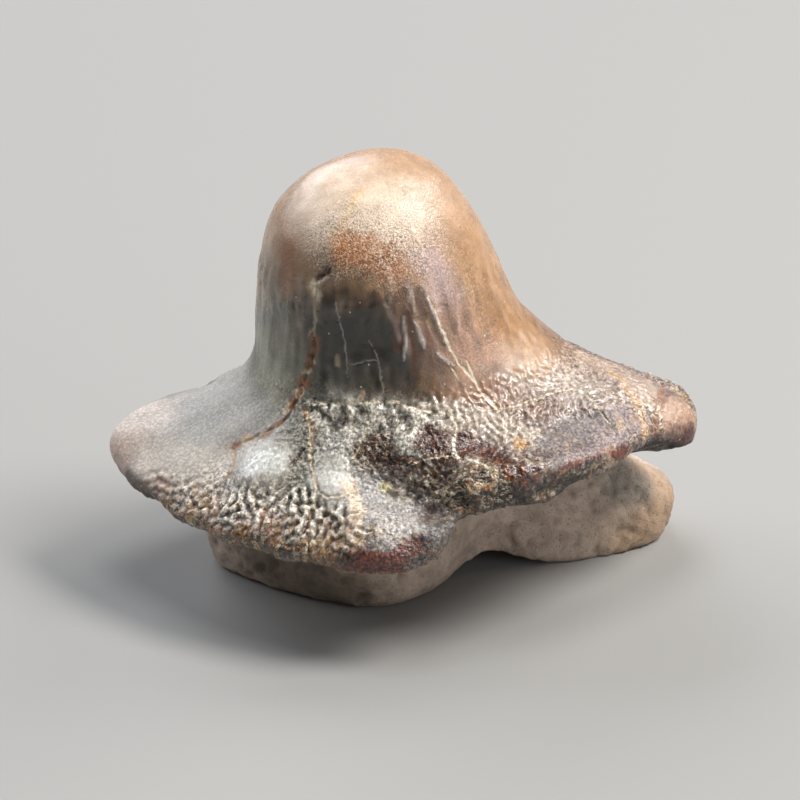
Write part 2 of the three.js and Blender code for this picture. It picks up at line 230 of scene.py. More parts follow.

# Stains and worn patches, and some painted highlights, sheen and shade: the colour, half width in
# millimetres, strength, and the route.
PATCHES = {
    "summit_glow": ("summit", 2.0, 0.9, [(370, 175), (395, 200), (420, 210)]),
    "left_shoulder": ("#b99d84", 1.0, 0.7, [(290, 200), (300, 225)]),
    # Pale worn dome, whitened further as a painted highlight.
    "dome_pale": ("#e4cfb8", 0.85, 0.72, [(335, 205), (360, 200), (395, 215)]),
    "left_brown": ("#6b5845", 0.42, 0.55, [(270, 266), (286, 268), (304, 266)]),
    "charcoal_halo": ("#4b3b2c", 0.9, 0.5, [(334, 325), (360, 320), (388, 335), (400, 355)]),
    "umber": ("#7c6142", 0.32, 0.55, [(336, 276), (360, 276), (382, 284)]),
    "pored_band": ("band", 0.34, 0.8, [(346, 246), (362, 249), (378, 256), (390, 264)]),
    "band_right": ("#b18c72", 0.7, 0.6, [(405, 275), (430, 272), (455, 305), (470, 335)]),
    "lilac": ("#b9a5a4", 0.38, 0.7, [(428, 262), (440, 277), (449, 294)]),
    "charcoal_top": ("#352b21", 0.55, 0.5, [(336, 316), (358, 308), (380, 322)]),
    "charcoal_mid": ("charcoal", 0.75, 0.85, [(334, 342), (358, 336), (380, 352)]),
    "charcoal_core": ("charcoal", 0.45, 0.7, [(352, 335), (366, 325), (378, 345)]),
    "charcoal_low": ("charcoal", 0.5, 0.55, [(322, 378), (350, 376), (385, 380), (408, 386)]),
    "flank_brown": ("#a08375", 0.7, 0.6, [(455, 335), (475, 350), (500, 362)]),
    # Painted sheen: whitish over the flank where its glints gather.
    "flank_white": ("#cdc4ba", 0.45, 0.4, [(525, 372), (560, 378), (590, 386)]),
    "flank_ochre": ("#b08a66", 0.8, 0.7, [(480, 260), (505, 300), (525, 335)]),
    "crease_brown": ("#664c3c", 0.3, 0.6, [(408, 300), (416, 325), (424, 345)]),
    "streak_brown_one": ("#50382b", 0.07, 0.8, [(394, 300), (396, 325), (397, 352)]),
    "streak_brown_two": ("#543828", 0.07, 0.85, [(409, 315), (411, 345), (412, 368)]),
    "streak_brown_three": ("#5f4433", 0.08, 0.8, [(428, 335), (432, 352), (440, 372)]),
    "streak_brown_four": ("#5d4232", 0.07, 0.85, [(418, 292), (424, 320), (429, 348)]),
    "streak_dark": ("#38302a", 0.07, 0.7, [(372, 290), (376, 320), (380, 350)]),
    "left_low": ("#a9a795", 0.42, 0.75, [(262, 345), (268, 370), (275, 385)]),
    "left_streak_one": ("#8f5c3a", 0.22, 0.5, [(288, 222), (287, 245), (290, 285)]),
    "summit_stain": ("#d9b47c", 0.08, 0.5, [(333, 237), (341, 224), (350, 210), (362, 192)]),
    "left_streak_two": ("#4e4238", 0.12, 0.45, [(293, 285), (295, 310), (294, 335)]),
    "left_streak_three": ("#5c544a", 0.15, 0.4, [(278, 290), (275, 320), (272, 350)]),
    "left_streak_four": ("#47403a", 0.16, 0.45, [(304, 300), (305, 325), (303, 350)]),
    "flake_one": ("#a08f70", 0.05, 0.8, [(337, 356), (338, 363)]),
    "flake_two": ("#b99c80", 0.06, 0.9, [(363, 393), (365, 400)]),
    "knob_pale": ("#cbc7bb", 0.3, 0.8, [(402, 436), (410, 448)]),
    "front_pale": ("#c2c0b9", 0.5, 0.75, [(340, 432), (338, 455), (335, 478)]),
    "foot_pale": ("#a9a59b", 0.4, 0.75, [(340, 412), (370, 418), (400, 420), (430, 424)]),
    "branch_patch": ("tan", 0.09, 0.85, [(306, 412), (313, 428)]),
    "crack_cream": ("#cdb99a", 0.1, 0.8, [(284, 411), (289, 408)]),
    "rust_blot_one": ("#5e2b12", 0.085, 0.9, [(302, 386), (299, 394)]),
    "rust_blot_two": ("#472210", 0.08, 0.9, [(296, 402), (293, 407)]),
    "chip_cream": ("#cbbfa8", 0.07, 0.7, [(313, 281), (311, 290), (316, 297)]),
    "front_dark": ("#4b433b", 0.16, 0.7, [(322, 410), (335, 422), (352, 420)]),
    # Painted shade: near-black over the hollow under the ledge, in three layers.
    "hollow_dark": ("#241c16", 0.5, 0.95, [(380, 455), (392, 478), (410, 480), (440, 482),
        (480, 482), (500, 486)]),
    "hollow_deep": ("#1a1613", 0.22, 0.95, [(386, 478), (410, 482), (432, 504), (470, 502),
        (500, 496)]),
    "hollow_black": ("#1b1816", 0.14, 0.9, [(410, 500), (425, 494), (445, 505)]),
    "ledge_pale": ("#cdc0b2", 0.26, 0.8, [(450, 414), (480, 420), (510, 430), (540, 440)]),
    "left_maroon": ("#33160f", 0.28, 0.95, [(372, 448), (385, 452), (390, 466), (405, 470)]),
    "upper_maroon": ("#33140b", 0.3, 1.0, [(430, 438), (443, 443), (452, 452)]),
    "maroon_band": ("#36120e", 0.25, 1.0, [(462, 442), (490, 455), (512, 468), (530, 476)]),
    "nose_bloom": ("#acaaa9", 0.72, 0.85, [(375, 505), (392, 512), (405, 528)]),
    "nose_tan": ("#e3ccb4", 0.16, 0.85, [(352, 487), (360, 508), (353, 528), (354, 545)]),
    "nose_maroon": ("#55201a", 0.3, 0.95, [(352, 560), (375, 566), (400, 564), (418, 552)]),
    "nose_plum": ("#4a3437", 0.2, 0.8, [(425, 520), (432, 505), (442, 515)]),
    "nose_side": ("#4f4e4d", 0.4, 0.9, [(428, 560), (440, 545), (450, 530)]),
    "shelf_mauve": ("#75666a", 0.45, 0.9, [(560, 452), (590, 438), (622, 425)]),
    "shelf_left": ("#4c4242", 0.32, 0.85, [(546, 454), (562, 441), (580, 431)]),
    "shelf_dark": ("#4b3f3e", 0.1, 0.85, [(552, 438), (562, 426), (578, 418), (600, 416),
        (612, 424)]),
    "shelf_edge": ("#7a3524", 0.06, 0.85, [(556, 472), (572, 466), (592, 457), (612, 451)]),
    "red_spot": ("#5a1f1a", 0.14, 0.95, [(614, 452), (624, 450)]),
    # Painted shade: the lip's near-black on the face under the right rim.
    "lip_face": ("lip", 0.3, 0.95, [(470, 507), (500, 500), (540, 488), (570, 478),
        (592, 471)]),
    "right_tan": ("#c0ac9c", 0.45, 0.65, [(590, 360), (630, 378), (655, 400)]),
    "right_streak": ("#bd9a76", 0.1, 0.7, [(612, 372), (626, 388), (634, 400)]),
    "right_stripe": ("#c4a283", 0.12, 0.7, [(635, 402), (643, 420), (645, 438)]),
    "far_lobe": ("#b1907b", 0.5, 0.8, [(678, 412), (688, 420)]),
    # Dark red underside of the far lobe, with painted shade.
    "far_lobe_low": ("#4a2626", 0.42, 1.0, [(666, 450), (676, 448), (686, 441)]),
    "ochre_grain": ("#c59a62", 0.1, 0.9, [(516, 441), (523, 447)]),
    "yellow_grain": ("#d8d0a0", 0.1, 1.0, [(384, 487), (388, 489)]),
    "orange_spot": ("#7c3f1d", 0.08, 1.0, [(457, 506), (459, 507)]),
    "orange_crumbs": ("#94602f", 0.06, 0.8, [(478, 486), (488, 491)]),
    "wing_tip": ("#decfc5", 0.75, 0.75, [(115, 436), (128, 426), (140, 415)]),
    "wing_edge": ("#b59a8b", 0.4, 0.6, [(116, 448), (140, 462)]),
    "wing_near": ("#c0b6ab", 0.55, 0.85, [(150, 462), (185, 468), (215, 470)]),
    # Painted highlights: near-white on the two swellings left of the nose.
    "swell_left": ("#eceeea", 0.28, 0.95, [(255, 466), (272, 461)]),
    "swell_right": ("#dcddd8", 0.2, 0.7, [(328, 474), (334, 486)]),
    "rim_rust_one": ("#7b4a2e", 0.16, 0.8, [(158, 482), (161, 490)]),
    "rim_rust_two": ("#6b4029", 0.16, 0.8, [(196, 512), (199, 520)]),
    "rim_rust_three": ("#8a5230", 0.15, 0.8, [(263, 512), (268, 520)]),
    "rim_cream": ("#b8a98a", 0.2, 0.7, [(158, 503), (166, 508)]),
    # Painted shade along the rim's lower edge at the front left.
    "rim_dark": ("#3a2f26", 0.22, 0.8, [(128, 480), (150, 497), (175, 512), (205, 527),
        (240, 539), (275, 546), (310, 552), (335, 558)]),
    "nose_left_dark": ("#33291f", 0.3, 0.75, [(318, 525), (330, 540), (340, 552)]),
}

# The same on the root: a painted shadow on its left front, the lobe's colour, and painted shade
# in its hollow.
ROOT_PATCHES = {
    "root_shade": ("#6e6152", 0.6, 0.75, [(262, 560), (300, 575), (345, 592)]),
    "root_lobe": ("#b2967c", 0.75, 0.9, [(655, 490), (668, 510), (640, 538)]),
    "root_hollow": ("#827c73", 0.45, 0.8, [(622, 482), (635, 490)]),
}

# Stains that run down the cusp in streaks.
STREAKED = ("charcoal_halo", "charcoal_top", "charcoal_mid", "charcoal_low", "band_right",
            "flank_brown", "flank_ochre", "left_shoulder", "pored_band")

# Zones whose relief has its own kind: half width in millimetres, and the route.
ZONES = {
    "worms": (0.6, [(150, 502), (185, 513), (220, 520), (255, 520), (290, 525), (325, 540)]),
    "worms_right": (0.7, [(240, 512), (270, 512), (300, 515), (330, 535)]),
    "ripples": (0.95, [(468, 398), (490, 398), (520, 396), (560, 393), (600, 400)]),
    "ripples_low": (0.6, [(470, 418), (500, 425), (540, 425)]),
    "nose": (0.95, [(350, 520), (385, 520), (415, 520)]),
    "hollow": (0.45, [(375, 455), (395, 478), (430, 484), (470, 488), (500, 490)]),
    "lip_front": (0.35, [(470, 507), (500, 500), (540, 488), (575, 478)]),
    "shelf": (0.5, [(560, 452), (590, 438), (625, 428)]),
    "glossy_wing": (1.5, [(108, 440), (150, 434), (185, 424), (215, 414), (240, 404)]),
    "glossy_back": (0.8, [(150, 408), (185, 394), (215, 388), (240, 384)]),
    "glossy_lobe": (0.45, [(670, 396), (682, 410), (684, 425), (684, 440)]),
    # Pale salt grains on the pored band, and painted glints over the cusp's highlight.
    "salt": (0.7, [(340, 240), (368, 238), (398, 228), (420, 214)]),
    "chip": (0.07, [(317, 277), (322, 272), (327, 268)]),
    "foot": (0.35, [(318, 412), (345, 415), (375, 418), (400, 420), (430, 420)]),
}


def sight(px, py):
    """The camera's place, and the direction in which it sees a pixel of the photograph."""
    up = Vector((0, math.sin(TILT), math.cos(TILT)))
    ahead = Vector((0, math.cos(TILT), -math.sin(TILT)))
    eye = MIDDLE - ahead * (PICTURE / PIXELS * LENS / SENSOR)
    half = PICTURE / 2
    aim = MIDDLE + Vector((1, 0, 0)) * ((px - half) / PIXELS) + up * ((half - py) / PIXELS)
    return eye, (aim - eye).normalized()


def lay(tree, name, route, spacing):
    """The route's pixels as points on the tooth; one just past its outline is drawn in.
    Between them come more, at most spacing pixels apart, so that a thin line stays on it."""
    close = [route[0]]
    for (ax, ay), (bx, by) in zip(route[:-1], route[1:]):
        count = math.ceil(math.hypot(bx - ax, by - ay) / spacing)
        close += [(ax + (bx - ax) * i / count, ay + (by - ay) * i / count)
                  for i in range(1, count + 1)]
    points = []
    for px, py in close:
        away = math.hypot(INNER[0] - px, INNER[1] - py)
        for drawn in range(0, DRAW_IN, 2):
            near = (px + (INNER[0] - px) * drawn / away, py + (INNER[1] - py) * drawn / away)
            hit = tree.ray_cast(*sight(*near))[0]
            if hit is not None:
                break
        else:
            raise RuntimeError(f"{name} misses the tooth at pixel {px}, {py}")
        points.append(hit)
    return np.array(points)


def step(low, high, values):
    """A smooth step from 0 at low to 1 at high."""
    t = np.clip((values - low) / (high - low), 0, 1)
    return t * t * (3 - 2 * t)


def fuzz(points, pitch, seed):
    """Seeded noise from about -1 to 1, whose lumps are about pitch millimetres apart."""
    spots = (points / pitch + seed * SEED_STEP).tolist()
    return np.array([noise.noise(p) for p in spots]) * NOISE_GAIN


def jostled(points, normals, pitch, by, seed):
    """The points, each moved a little along the surface, for edges and lines that waver."""
    moves = np.stack([fuzz(points, pitch, seed + axis) for axis in range(3)], axis=1)
    moves -= normals * (moves * normals).sum(1)[:, None]
    return points + by * moves


def pits(points, pitch, seed):
    """1 in the middle of scattered round pits, 0 between them."""
    spots = (points / pitch + seed * 3.17).tolist()
    near = np.array([noise.voronoi(p)[0][0] for p in spots])
    return step(0.42, 0.12, near)


def ribs(skin, share, across, spacing, wander, stray, seed):
    """Evenly spaced ribs from -1 to 1 that run at right angles to across, and fork and bend.
    Many small patches of waves, laid over one another, give the ribs their natural joins."""
    chance = np.random.default_rng(seed)
    inside = np.flatnonzero(share > 0.01)
    tree = KDTree(len(inside))
    for spot, point in enumerate(skin.place[inside].tolist()):
        tree.insert(point, spot)
    tree.balance()
    weight = skin.area[inside]
    count = int(weight.sum() / (WAVE_GAP * spacing) ** 2)
    centres = chance.choice(len(inside), size=count, replace=False, p=weight / weight.sum())
    bend = wander * fuzz(skin.place[inside[centres]], 4 * spacing, seed + 1)
    starts = chance.uniform(0, math.tau, count)
    total = np.zeros(len(inside), complex)
    for centre, turn, start in zip(centres, bend + chance.normal(0, stray, count), starts):
        home = inside[centre]
        up, way = skin.normal[home], across[home]
        way = way - up * (way @ up)
        way /= max(np.linalg.norm(way), 1e-9)
        way = math.cos(turn) * way + math.sin(turn) * np.cross(up, way)
        found = [spot for _, spot, _ in tree.find_range(skin.place[home], WAVE_REACH * spacing)]
        gap = skin.place[inside[found]] - skin.place[home]
        fade = np.exp(-(gap * gap).sum(1) / (1.1 * spacing * spacing))
        total[found] += fade * np.exp(1j * (math.tau / spacing * (gap @ way) + start))
    made = np.zeros(len(share))
    made[inside] = np.clip(total.real / (0.6 + 0.5 * np.abs(total)), -1, 1)
    return made


def crests(points, pitch, seed, sharp=2.4):
    """Winding ridges from 0 in the valleys to 1 on the crests."""
    return np.clip(1 - np.abs(fuzz(points, pitch, seed)) * sharp, 0, 1)


def distance(points, route, reach, along=False):
    """Each point's distance to a route, and how far along it that is from 0 to 1 if asked for.
    Points past reach get the distance FAR."""
    found, share = np.full(len(points), FAR), np.zeros(len(points))
    low, high = route.min(0) - reach, route.max(0) + reach
    near = np.all((points > low) & (points < high), axis=1)
    close = points[near]
    best, part = np.full(len(close), FAR), np.zeros(len(close))
    for spot, (a, b) in enumerate(zip(route[:-1], route[1:])):
        run = b - a
        t = np.clip((close - a) @ run / max(run @ run, 1e-9), 0, 1)
        gap = np.linalg.norm(close - a - t[:, None] * run, axis=1)
        part = np.where(gap < best, (spot + t) / (len(route) - 1), part)
        best = np.minimum(best, gap)
    found[near], share[near] = best, part
    return (found, share) if along else found


def numbers(source, key, wide=1, kind=np.float32):
    """What a mesh keeps under key, wide numbers for each corner or face."""
    found = np.empty(len(source) * wide, kind)
    source.foreach_get(key, found)
    return found.reshape(-1, wide) if wide > 1 else found


def finished(shape, name):
    """A new mesh from a bmesh, which is then freed."""
    mesh = bpy.data.meshes.new(name)
    shape.to_mesh(mesh)
    shape.free()
    return mesh


def put(name, data):
    """A new object with the given data, in the scene."""
    made = bpy.data.objects.new(name, data)
    bpy.context.scene.collection.objects.link(made)
    return made


def modified(mesh, kind, settings):
    """A new mesh: the given one after a modifier."""
    holder = put("holder", mesh)
    modifier = holder.modifiers.new(kind, kind)
    for name, value in settings.items():
        setattr(modifier, name, value)
    bpy.context.view_layer.update()
    graph = bpy.context.evaluated_depsgraph_get()
    made = bpy.data.meshes.new_from_object(holder.evaluated_get(graph))
    bpy.data.objects.remove(holder)
    return made


def welded(node):
    """The node's loose triangles as one closed mesh of four-sided faces, in millimetres."""
    shape = bmesh.new()
    shape.from_mesh(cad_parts[node].data)
    bmesh.ops.scale(shape, vec=(1 / MM, 1 / MM, 1 / MM), verts=shape.verts)
    bmesh.ops.remove_doubles(shape, verts=shape.verts, dist=WELD)
    bmesh.ops.join_triangles(shape, faces=shape.faces, angle_face_threshold=math.radians(50),
                             angle_shape_threshold=math.radians(70))
    return finished(shape, "welded")


def rounded(mesh):
    """The mesh subdivided smoothly, still passing through its own corners."""
    rest = numbers(mesh.vertices, "co", 3).astype(float)
    held = rest.copy()
    for _ in range(2):
        mesh.vertices.foreach_set("co", held.astype(np.float32).ravel())
        settled = modified(mesh, "SUBSURF", {"levels": 1, "render_levels": 1})
        held += rest - numbers(settled.vertices, "co", 3)[:len(rest)]
    mesh.vertices.foreach_set("co", held.astype(np.float32).ravel())
    return modified(mesh, "SUBSURF", {"levels": 2, "render_levels": 2})


def refine(shape, faces, tree):
    """Halves the given faces' edges and lays the new corners on the smooth surface."""
    edges = {edge for face in faces for edge in face.edges}
    known = set(shape.verts)
    bmesh.ops.subdivide_edges(shape, edges=list(edges), cuts=1, use_grid_fill=True)
    many = [face for face in shape.faces if len(face.verts) > 4]
    bmesh.ops.triangulate(shape, faces=many)
    for corner in shape.verts:
        if corner not in known:
            corner.co = tree.find_nearest(corner.co)[0]
    shape.normal_update()


def fine_mesh(looks, tree, smooth, routes):
    """An even mesh over the smooth surface, finer on the crown's front and along cracks."""
    even = modified(smooth, "REMESH", {"mode": "VOXEL", "voxel_size": looks.pitch / MM})
    shape = bmesh.new()
    shape.from_mesh(even)
    for corner in shape.verts:
        corner.co = tree.find_nearest(corner.co)[0]
    shape.normal_update()
    toward = -sight(PICTURE / 2, PICTURE / 2)[1]
    front = [face for face in shape.faces if wants_detail(face, toward)]
    refine(shape, front, tree)
    middles = np.array([face.calc_center_median() for face in shape.faces])
    near = np.zeros(len(middles), bool)
    for name, (width, *_) in CRACKS.items():
        near |= distance(middles, routes[name], 0.5) < width + 0.03
    shape.faces.ensure_lookup_table()
    refine(shape, [shape.faces[i] for i in np.flatnonzero(near)], tree)
    bmesh.ops.triangulate(shape, faces=shape.faces)
    bmesh.ops.recalc_face_normals(shape, faces=shape.faces)
    open_edges = sum(len(edge.link_faces) != 2 for edge in shape.edges)
    if open_edges:
        raise RuntimeError(f"the tooth's mesh has {open_edges} open edges")
    return finished(shape, "tooth_skin")


def wants_detail(face, toward):
    """True on the crown's front, where the surface is roughest to the eye."""
    x, _, z = face.calc_center_median()
    smooth_wing = x < WING_RIGHT and z > WING_LOW
    return (face.normal.dot(toward) >= FACING and FINE_LOW <= z < FINE_HIGH
            and not smooth_wing)


class Surface:
    """The tooth's vertices in millimetres, with the measures that the relief and colours use."""

    def __init__(self, mesh, routes):
        self.routes = routes
        self.place = place = numbers(mesh.vertices, "co", 3).astype(float)
        self.normal = normal = numbers(mesh.vertex_normals, "vector", 3).astype(float)
        self.sides = numbers(mesh.polygons, "vertices", 3, np.int32)
        thirds = np.repeat(numbers(mesh.polygons, "area") / 3, 3)
        self.area = np.bincount(self.sides.ravel(), thirds, len(place))
        across, deep = place[:, 0] - AXIS[0], place[:, 1] - AXIS[1]
        radius = np.hypot(across, deep)
        degrees = np.degrees(np.arctan2(deep, across))
        self.height = height = place[:, 2]
        reach, rim = [], []
        starts = np.arange(-180, 180, SECTOR)
        for low in starts:
            here = np.flatnonzero((degrees >= low) & (degrees < low + SECTOR)
                                  & (height > RIM_LOW))
            far = here[np.argmax(radius[here])]
            reach.append(radius[far])
            rim.append(height[far])
        middle = starts + SECTOR / 2
        self.inset = inset = np.interp(degrees, middle, reach, period=360) - radius
        over_rim = height - np.interp(degrees, middle, rim, period=360)
        under = step(0.1, -0.3, normal[:, 2]) * step(0.25, -0.1, over_rim)
        self.root = np.maximum(step(NECK + 0.05, NECK - 0.2, height) * step(0.1, 0.5, inset),
                               step(RIM_LOW - 0.08, RIM_LOW - 0.25, height))
        self.back = step(0.6, 1.8, deep)
        self.under = np.clip(under * step(-0.02, 0.25, inset), 0, 1)
        self.crown = (1 - self.root) * (1 - self.under)
        self.warp = 0.5 * fuzz(place, 0.5, 3) + 0.5 * fuzz(place, 0.16, 4)
        self.drip = fuzz(place * np.array([1, 1, 0.2]), 0.15, 17)
        self.loose = jostled(place, normal, 0.5, 0.07, 15)
        wavered = jostled(place, normal, 0.35, 0.03, 5)
        self.wavered = jostled(wavered, normal, 0.1, 0.012, 8)
        outward = np.stack([across, deep, np.zeros(len(deep))], axis=1)
        outward /= np.maximum(np.linalg.norm(outward, axis=1), 1e-6)[:, None]
        self.outward = outward
        self.round = np.stack([-outward[:, 1], outward[:, 0], np.zeros(len(deep))], axis=1)
        self.find_parts()

    def near(self, name, width, ragged=0.25, soft=0.35, drip=0.0):
        """1 along the route, falling to 0 about its half width, with a ragged edge."""
        reach = distance(self.loose, self.routes[name], 2.5 * width + 0.2)
        gap = reach / width + self.warp * ragged + self.drip * drip
        return step(1 + soft, 1 - soft, gap)

    def line(self, name, width, soft=0.35, blunt=0.3):
        """A thin wavering line along the route, tapered at its ends, from 1 to 0 at its edge."""
        gap, share = distance(self.wavered, self.routes[name], 3 * width + 0.2, along=True)
        taper = blunt + (1 - blunt) * np.sqrt(np.clip(4 * share * (1 - share), 0, 1))
        return step(1.25, soft, gap / (width * taper * (1 + 0.4 * self.warp)))

    def widest(self, names):
        """How far each vertex is inside any of the named patches."""
        return np.maximum.reduce([self.near(name, PATCHES[name][1]) for name in names])

    def find_parts(self):
        """How far each vertex is inside each part of the crown, from 0 to 1."""
        zone = {name: self.near(name, width) for name, (width, _) in ZONES.items()
                if name != "chip"}
        self.cusp = step(4.7, 5.3, self.height + 0.8 * self.back)
        self.nose, self.hollow, self.foot = zone["nose"], zone["hollow"], zone["foot"]
        self.lip, self.shelf, self.salt = zone["lip_front"], zone["shelf"], zone["salt"]
        self.glossy = np.maximum.reduce([zone["glossy_wing"], zone["glossy_back"],
                                         0.75 * zone["glossy_lobe"]])
        self.swells = np.maximum(self.near("swell_left", 0.45), self.near("swell_right", 0.42))
        self.maroon = self.widest(("maroon_band", "nose_maroon", "upper_maroon", "left_maroon"))
        edge = step(1.3, 0.4, self.inset) * self.crown * (1 - self.cusp)
        spilled = 0.6 * edge * (1 - self.nose) * (1 - self.hollow) * (1 - 0.9 * self.glossy)
        self.worms = np.maximum.reduce([zone["worms"], zone["worms_right"], spilled])
        self.worms *= (1 - 0.8 * self.swells) * (1 - 0.8 * self.shelf)
        self.ripples = np.maximum(zone["ripples"], zone["ripples_low"]) * (1 - 0.7 * edge)
        self.ripples *= (1 - 0.7 * self.maroon) * step(5.25, 4.85, self.height)
        self.ripples *= 1 - 0.8 * self.shelf
        self.plain = (self.crown * (1 - self.cusp) * (1 - self.glossy) * (1 - 0.7 * self.swells)
                      * (1 - 0.7 * self.shelf))


# Heights in millimetres of the relief that has no setting. On the crown: swellings, holes,
# folds behind, lumps round the cusp's foot, sand, and the hollow's threads and fine ribs.
SWELL, HOLE, FOLD, LUMP, SAND, THREAD, THREAD_RIB = 0.05, 0.06, 0.035, 0.06, 0.02, 0.075, 0.012

# The lip's crumb, the crown's broad waver, the cusp's runs, grain and dots, and the chip.
LIP_CRUMB, WAVER, RUN, CUSP_GRAIN, DOT, CHIP = 0.04, 0.02, 0.012, 0.006, 0.02, 0.12

# The root's crumb and sand.
ROOT_CRUMB, ROOT_SAND = 0.035, 0.015


def relief(looks, skin):
    """How far each vertex moves along its normal, in millimetres. The colours read from the
    skin what is kept there: the fine relief, the threads, the pores and the chip."""
    place, height, back, hollow = skin.place, skin.height, skin.back, skin.hollow
    worms, ripples, plain = skin.worms, skin.ripples, skin.plain

    # The spacing of each kind of rib, in millimetres, is that between the ridges in the photo.
    winding = ribs(skin, worms, skin.round + 0.5 * skin.outward, 0.21, 1.1, 0.7, 21)
    winding = np.sign(winding) * np.abs(winding) ** 0.6
    running = ribs(skin, np.maximum(ripples, 0.6 * plain), skin.round, 0.155, 0.8, 0.5, 31)
    crossing = ribs(skin, np.maximum(ripples, hollow), skin.outward, 0.24, 0.9, 0.5, 33)
    folds = ribs(skin, back * plain, skin.round + 0.4 * skin.outward, 0.34, 0.9, 0.5, 35)
    skin.threads = crests(place, 0.14, 71)
    crumb = 0.6 * fuzz(place, 0.3, 41) + 0.4 * fuzz(place, 0.13, 42)
    sand = 0.5 * fuzz(place, 0.11, 51) + 0.5 * fuzz(place, 0.07, 52)
    holes = pits(place, 0.34, 55) * step(-0.2, 0.5, fuzz(place, 0.7, 56))
    uneven = 0.65 + 0.35 * fuzz(place, 0.6, 57)

    # On the crown, from the margin's ridges to the sandy hollow; it fades out on the sharp rim.
    fine = looks.worm_rise / MM * worms * winding * uneven * 0.5
    fine += SWELL * skin.swells
    fine -= HOLE * holes * np.clip(worms + 0.4 * skin.lip + 0.3 * hollow, 0, 1)
    fine += looks.ripple_rise / MM * ripples * (0.7 * running + 0.3 * crossing) * uneven
    fine += 0.25 * looks.ripple_rise / MM * running * plain * (1 - worms) * (1 - ripples)
    fine += looks.crumb_rise / MM * crumb * plain * (0.4 + 0.6 * skin.foot) * (1 - 0.5 * ripples)
    fine += FOLD * folds * back * plain * uneven
    fine += LUMP * fuzz(place, 0.22, 43) * skin.foot
    fine += SAND * sand * (skin.nose + hollow + skin.lip + 0.4 * plain)
    fine += hollow * (THREAD * (skin.threads - 0.4) + THREAD_RIB * crossing)
    fine += LIP_CRUMB * crumb * skin.lip
    fine *= 1 - 0.65 * step(0.25, 0.05, skin.inset)
    skin.fine = fine

    # On the cusp, shallow runs down its side and small dots under the summit.
    runs = RUN * fuzz(place * np.array([1, 1, 0.35]), 0.22, 82) * step(7.9, 6.8, height)
    move = fine + WAVER * fuzz(place, 0.9, 61) * skin.crown
    move += skin.cusp * (runs + CUSP_GRAIN * fuzz(place, 0.25, 81))
    dots = step(0.35, 0.8, fuzz(place, 0.16, 83)) * step(7.4, 6.8, height)
    move -= DOT * dots * step(5.8, 6.6, height)

    bone = np.clip(skin.root + skin.under, 0, 1)
    pores = step(0.45, 0.9, fuzz(place, 0.3, 91)) + 0.5 * step(0.35, 0.8, fuzz(place, 0.17, 92))
    move += bone * (ROOT_CRUMB * crumb - looks.pore_rise / MM * pores + ROOT_SAND * sand)
    skin.pores = bone * pores

    for name, (width, rise, _) in CREASES.items():
        move += rise * skin.line(name, 1.8 * width, -0.3, 0.03)
    gap = distance(skin.wavered, skin.routes["chip"], 0.5) / ZONES["chip"][0]
    skin.chip = step(1.1, 0.3, gap)
    move -= CHIP * skin.chip
    ragged = 0.35 + 0.65 * step(-0.35, 0.2, fuzz(place, 0.28, 108))
    for name, (width, depth, code, _) in CRACKS.items():
        move -= depth * skin.line(name, width) * (ragged if code == "rust" else 1)
    grounded = step(0.0, 0.06, height)
    return move * grounded


